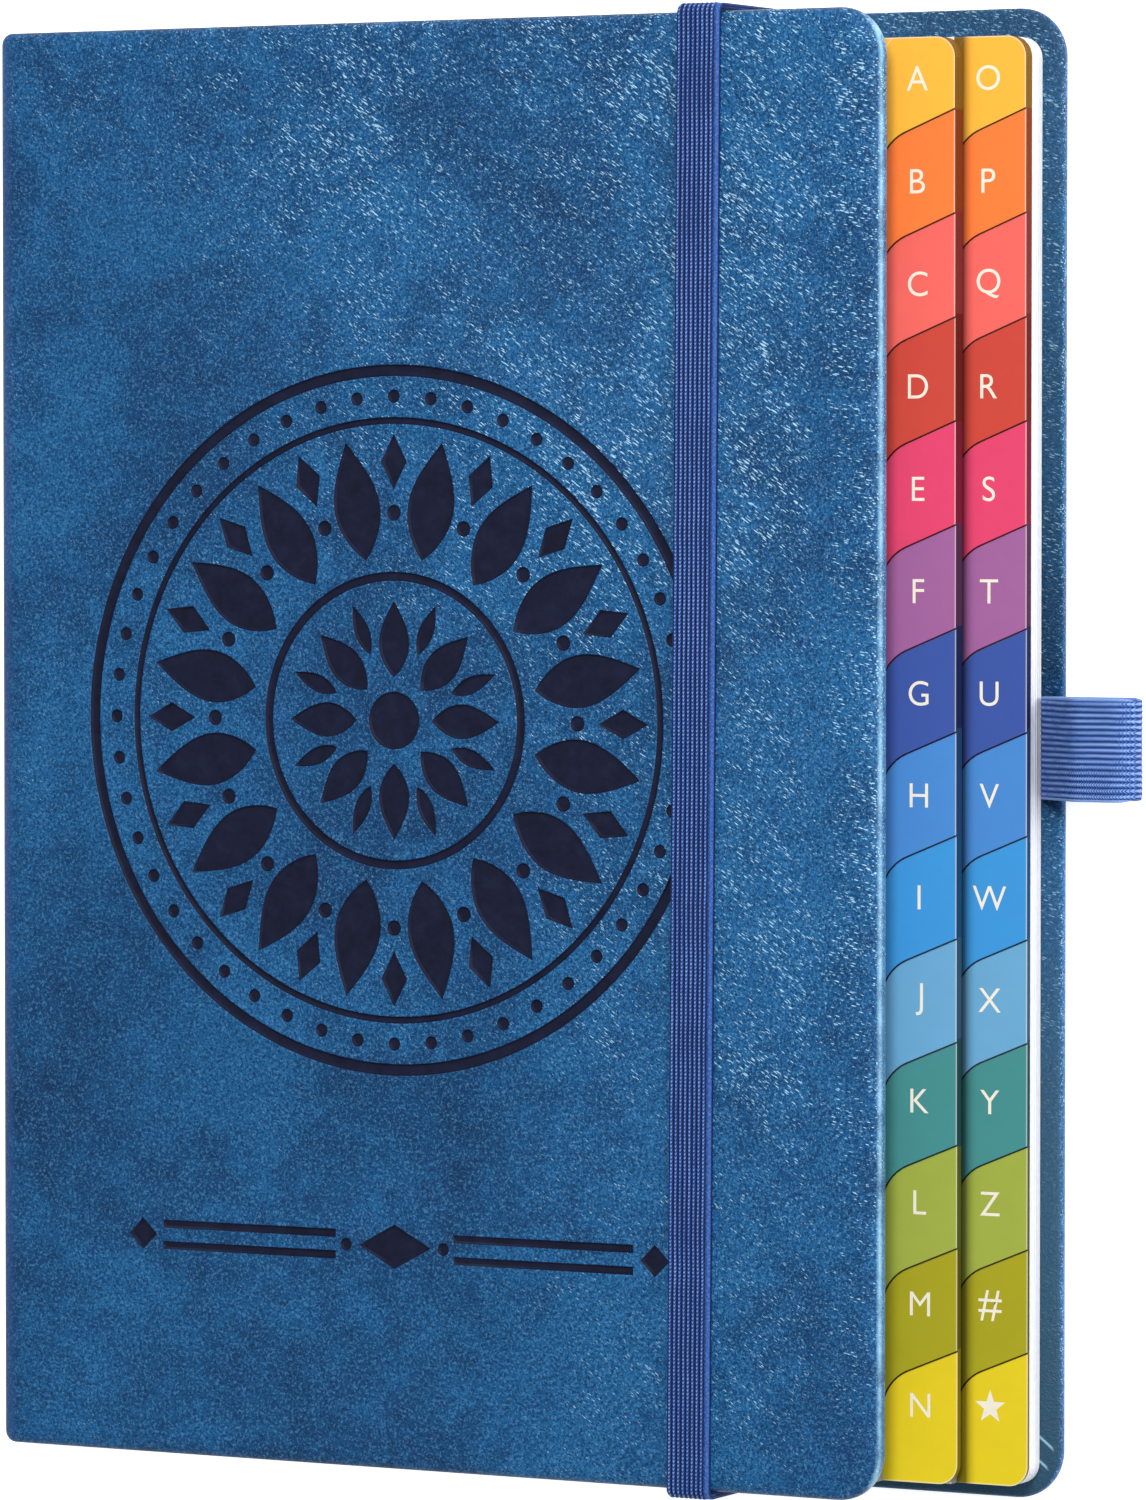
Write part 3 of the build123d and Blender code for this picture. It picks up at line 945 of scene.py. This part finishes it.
def pages():
    """The plain leaves before and behind the index."""
    page_stack("note_leaves", "note_pages", 16, NOTE_PAPER, "book", 3)
    page_stack("back_flyleaf_sheet", "back_flyleaf", 1, ENDPAPER, "book", 4)
    page_stack("front_leaves_upper", "front_pages_1", 10, FRONT_PAPER, "front_pages_1", 5)
    page_stack("front_leaves_lower", "front_pages_2", 10, FRONT_PAPER, "front_pages_2", 6)
    page_stack("front_flyleaf_sheet", "front_flyleaf", 1, ENDPAPER, "front_flyleaf", 7)


def paint(node, material):
    """Give a CAD node its finish."""
    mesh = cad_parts[node].data
    mesh.materials.clear()
    mesh.materials.append(material)


def letter_mark(name, label, centre):
    """One printed capital or number sign as a flat mesh."""
    curve = bpy.data.curves.new(f"mark_{name}", "FONT")
    curve.body = label
    curve.size = MARK_HEIGHT / CAPITAL_SHARE * (NUMBER_SIGN_GROWTH if label == "#" else 1.0)
    curve.offset = -MARK_THINNING
    curve.align_x = "CENTER"
    curve.align_y = "CENTER"
    text = put_in_scene(f"text_{name}", curve)
    bpy.context.view_layer.update()
    mesh = bpy.data.meshes.new_from_object(text)
    bpy.data.objects.remove(text)
    xs = [v.co.x for v in mesh.vertices]
    ys = [v.co.y for v in mesh.vertices]
    shift = Vector(((min(xs) + max(xs)) / 2, (min(ys) + max(ys)) / 2, 0))
    for vertex in mesh.vertices:
        vertex.co = vertex.co - shift + centre
    mesh.materials.clear()
    mesh.materials.append(MARK_INK)
    mesh.name = f"mark_{name}"
    return put_in_scene(f"mark_{name}", mesh)


def star_mark(name, centre):
    """A five-pointed star."""
    points = []
    for i in range(10):
        angle = math.pi / 2 + math.pi * i / 5
        radius = STAR_OUTER if i % 2 == 0 else STAR_INNER
        points.append((centre.x + radius * math.cos(angle), centre.y + radius * math.sin(angle), centre.z))
    points.append(tuple(centre))
    faces = [(i, (i + 1) % 10, 10) for i in range(10)]
    return add_piece(f"mark_{name}", points, faces, [MARK_INK], smooth=False)


def index_column(names, labels, root, edge, shade_from):
    """A column of index leaves: their print, and the pale mark on each tab."""
    for row, (name, label) in enumerate(zip(names, labels)):
        node = f"section_{name}"
        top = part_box(node)[1].z
        paint(node, index_material(f"index_{name}", root, edge, row, shade_from))
        centre = Vector((edge - MARK_INSET, first_high.y - MARK_TOP - row * MARK_PITCH, top + MARK_LIFT))
        mark = star_mark(name, centre) if label == "star" else letter_mark(name, label, centre)
        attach(mark, node)


# Webbing

def webbing_profile(low, high, first_rib, pitch, ribs, thickness, relief):
    """Across a ribbed band: (place across, height above its inner face), round the whole section."""
    steps = 6
    ground = thickness - relief
    shoulder = thickness - relief * 0.45
    side = thickness * 0.35
    points = [(low, side), (low + 0.06 * MM, ground), (first_rib - 0.02 * MM, ground)]
    for i in range(ribs * steps + 1):
        swell = 0.5 - 0.5 * math.cos(2 * math.pi * i / steps)
        points.append((first_rib + pitch * i / steps, ground + relief * swell ** 0.7))
    points += [(first_rib + pitch * ribs + 0.08 * MM, shoulder), (high - 0.12 * MM, shoulder), (high, side)]
    return points + [(high - 0.1 * MM, 0.0), (low + 0.1 * MM, 0.0)]


def sweep(name, path, profile, across, material, narrow=None):
    """Sweep a band's section along (place, outward normal) points.

    narrow gives how far each edge is drawn in at a place, where the band isn't even.
    """
    vertices = []
    middle = (profile[0][0] + profile[-3][0]) / 2
    half = (profile[-3][0] - profile[0][0]) / 2
    for place, normal in path:
        share = 1 - narrow(place) / half if narrow else 1.0
        for u, height in profile:
            vertices.append(place + across * (middle + (u - middle) * share) + normal * height)
    count = len(profile)
    faces = stacked_faces(len(path), count)
    faces.append(tuple(range(count)))
    faces.append(tuple(range((len(path) - 1) * count, len(path) * count)))
    return turn_outward(add_piece(name, vertices, faces, [material]))


def spaced(points, spacing):
    """A line's points with more put in where they lie further apart than the spacing."""
    dense = [points[0]]
    for a, b in zip(points, points[1:]):
        parts = max(1, round((b - a).length / spacing))
        dense += [a.lerp(b, k / parts) for k in range(1, parts + 1)]
    return dense


def directions(points):
    """The unit vector ahead at each point of a line."""
    last = len(points) - 1
    return [(points[min(i + 1, last)] - points[max(i - 1, 0)]).normalized() for i in range(last + 1)]


def rounded_path(corners, radii, steps=8):
    """Straight runs joined by arcs at right-angled corners, in the YZ plane."""
    points = []
    for i, corner in enumerate(corners):
        corner = Vector(corner)
        if i in (0, len(corners) - 1):
            points.append(corner)
            continue
        before = (Vector(corners[i - 1]) - corner).normalized()
        after = (Vector(corners[i + 1]) - corner).normalized()
        radius = radii[i - 1]
        centre = corner + (before + after) * radius
        for k in range(steps + 1):
            t = math.pi / 2 * k / steps
            points.append(centre - after * radius * math.cos(t) - before * radius * math.sin(t))
    return points


def elastic_strap():
    """The closing strap, ribbed along its length."""
    y0, y1 = strap_low.y + STRAP_THICKNESS, strap_high.y - STRAP_THICKNESS
    z0, z1 = strap_low.z + STRAP_THICKNESS, strap_high.z - STRAP_THICKNESS
    corners = [(y0 + STRAP_TAIL, z0), (y0, z0), (y0, z1), (y1, z1), (y1, z0), (y1 - STRAP_TAIL, z0)]
    bends = [STRAP_INNER_BEND, STRAP_OUTER_BEND, STRAP_OUTER_BEND, STRAP_INNER_BEND]
    line = spaced(rounded_path(corners, bends), 1.4 * MM)
    path = []
    for point, ahead in zip(line, directions(line)):
        path.append((Vector((0, point.x, point.y)), Vector((0, -ahead.y, ahead.x))))
    profile = webbing_profile(strap_low.x, strap_high.x, STRAP_FIRST_RIB, STRAP_PITCH, STRAP_RIBS,
                              STRAP_THICKNESS, STRAP_RELIEF)
    piece = sweep("elastic_strap_web", path, profile, Vector((1, 0, 0)), STRAP_WEB)
    for vertex in piece.data.vertices:
        vertex.co.x -= STRAP_LEAN * (strap_high.y - vertex.co.y)
    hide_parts("elastic_strap")
    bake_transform(piece)


def loop_line():
    """The pen loop's inner face seen from its end: a hull round two arcs and the root."""
    rise = loop_high.z - loop_low.z
    radius = rise / 2 - LOOP_THICKNESS
    level = (loop_low.z + loop_high.z) / 2
    far = loop_high.x - rise / 2
    root = Vector((loop_low.x + LOOP_ROOT_RADIUS, back_high.z + LOOP_ROOT_LIFT))
    discs = [(Vector((far, level)), radius), (Vector((far - LOOP_STRAIGHT, level)), radius),
             (root, LOOP_ROOT_RADIUS - LOOP_THICKNESS)]
    rounds = [centre + heading(math.pi * i / 32) * r for centre, r in discs for i in range(64)]
    hull = [rounds[i] for i in convex_hull_2d(rounds)]
    start = min(range(len(hull)), key=lambda i: hull[i].x)
    return hull[start:] + hull[:start] + [hull[start]]


def loop_fold(place):
    """How far the fold at the loop's far end is drawn in, to round its corners."""
    past = max(0.0, place.x + LOOP_THICKNESS - (loop_high.x - FOLD_LENGTH)) / FOLD_LENGTH
    return FOLD_INSET * (1 - math.sqrt(max(0.0, 1 - past ** 2)))


def pen_loop():
    """The pen loop and its glued tongue, ribbed along the webbing."""
    hull = loop_line()
    turn = 1 if sum(a.x * b.y - b.x * a.y for a, b in zip(hull, hull[1:])) > 0 else -1
    line = spaced(hull, 0.5 * MM)
    path = []
    for point, ahead in zip(line, directions(line)):
        path.append((Vector((point.x, 0, point.y)), Vector((ahead.y, 0, -ahead.x)) * turn))
    profile = webbing_profile(loop_low.y, loop_high.y, LOOP_FIRST_RIB, LOOP_PITCH, LOOP_RIBS,
                              LOOP_THICKNESS, LOOP_RELIEF)
    loop = sweep("pen_loop_web", path, profile, Vector((0, 1, 0)), LOOP_WEB, loop_fold)
    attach(loop, "pen_loop")
    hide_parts("pen_loop")
    straight = [(Vector((tongue_low.x + (tongue_high.x - tongue_low.x) * i / 20, 0, tongue_low.z)),
                 Vector((0, 0, 1))) for i in range(21)]
    tongue = sweep("pen_tongue_web", straight, profile, Vector((0, 1, 0)), LOOP_WEB)
    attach(tongue, "book")
    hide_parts("pen_loop_tongue")


# Stage, light and camera

def stage():
    """A pale, softly glowing floor under the book, and an even white surround."""
    s = Shader("pale_floor")
    s.set(Base_Color=srgb(245, 245, 245), Roughness=0.9, Emission_Color=(1, 1, 1, 1), Emission_Strength=0.75)
    corners = [(x * FLOOR_SIZE, y * FLOOR_SIZE, 0) for x, y in ((-1, -1), (1, -1), (1, 1), (-1, 1))]
    floor = add_piece("floor", corners, [(0, 1, 2, 3)], [s.material])
    world = bpy.data.worlds.new("studio")
    world.use_nodes = True
    background = world.node_tree.nodes["Background"]
    background.inputs["Color"].default_value = (1, 1, 1, 1)
    background.inputs["Strength"].default_value = 0.38
    bpy.context.scene.world = world
    bpy.context.scene.view_settings.view_transform = "Standard"


def area_light(name, place, size, power):
    """A soft square lamp aimed at the middle of the book."""
    lamp = bpy.data.lights.new(name, "AREA")
    lamp.size = size
    lamp.energy = power
    light = put_in_scene(name, lamp)
    light.location = place
    aim = Vector((0, 0, 0.01)) - Vector(place)
    light.rotation_mode = "QUATERNION"
    light.rotation_quaternion = aim.to_track_quat("-Z", "Y")


def camera():
    """The photograph's view: from the fore-edge side, close to square on to the cover."""
    data = bpy.data.cameras.new("photo_camera")
    data.sensor_width = SENSOR
    data.lens = FOCAL_PIXELS * SENSOR / PHOTO_HEIGHT
    piece = put_in_scene("photo_camera", data)
    piece.location = CAMERA_PLACE
    forward = Vector((-math.sin(CAMERA_YAW) * math.cos(CAMERA_PITCH), -math.sin(CAMERA_PITCH),
                      -math.cos(CAMERA_YAW) * math.cos(CAMERA_PITCH)))
    right = Vector((math.cos(CAMERA_YAW), 0, -math.sin(CAMERA_YAW)))
    up = right.cross(forward)
    piece.rotation_mode = "QUATERNION"
    piece.rotation_quaternion = Matrix((right, up, -forward)).transposed().to_quaternion()
    bpy.context.scene.camera = piece


front_cover()
back_cover()
spine()
pages()
index_column(FIRST_NAMES, FIRST_LABELS, FIRST_ROOT, first_high.x, None)
index_column(SECOND_NAMES, SECOND_LABELS, SECOND_ROOT, second_high.x, first_high.x)
elastic_strap()
pen_loop()
for node in ("front_cover_board", "back_cover_board", "spine_board"):
    paint(node, BOARD)
for node in ("front_pastedown", "back_pastedown"):
    paint(node, ENDPAPER)
paint("spine_lining", GAUZE)
for node in ("head_band", "tail_band"):
    paint(node, BAND)
stage()
area_light("key", (0.40, 0.62, 1.15), 0.4, 12.6)
area_light("edge", (0.95, 0.25, 0.4), 0.4, 5.0)
camera()
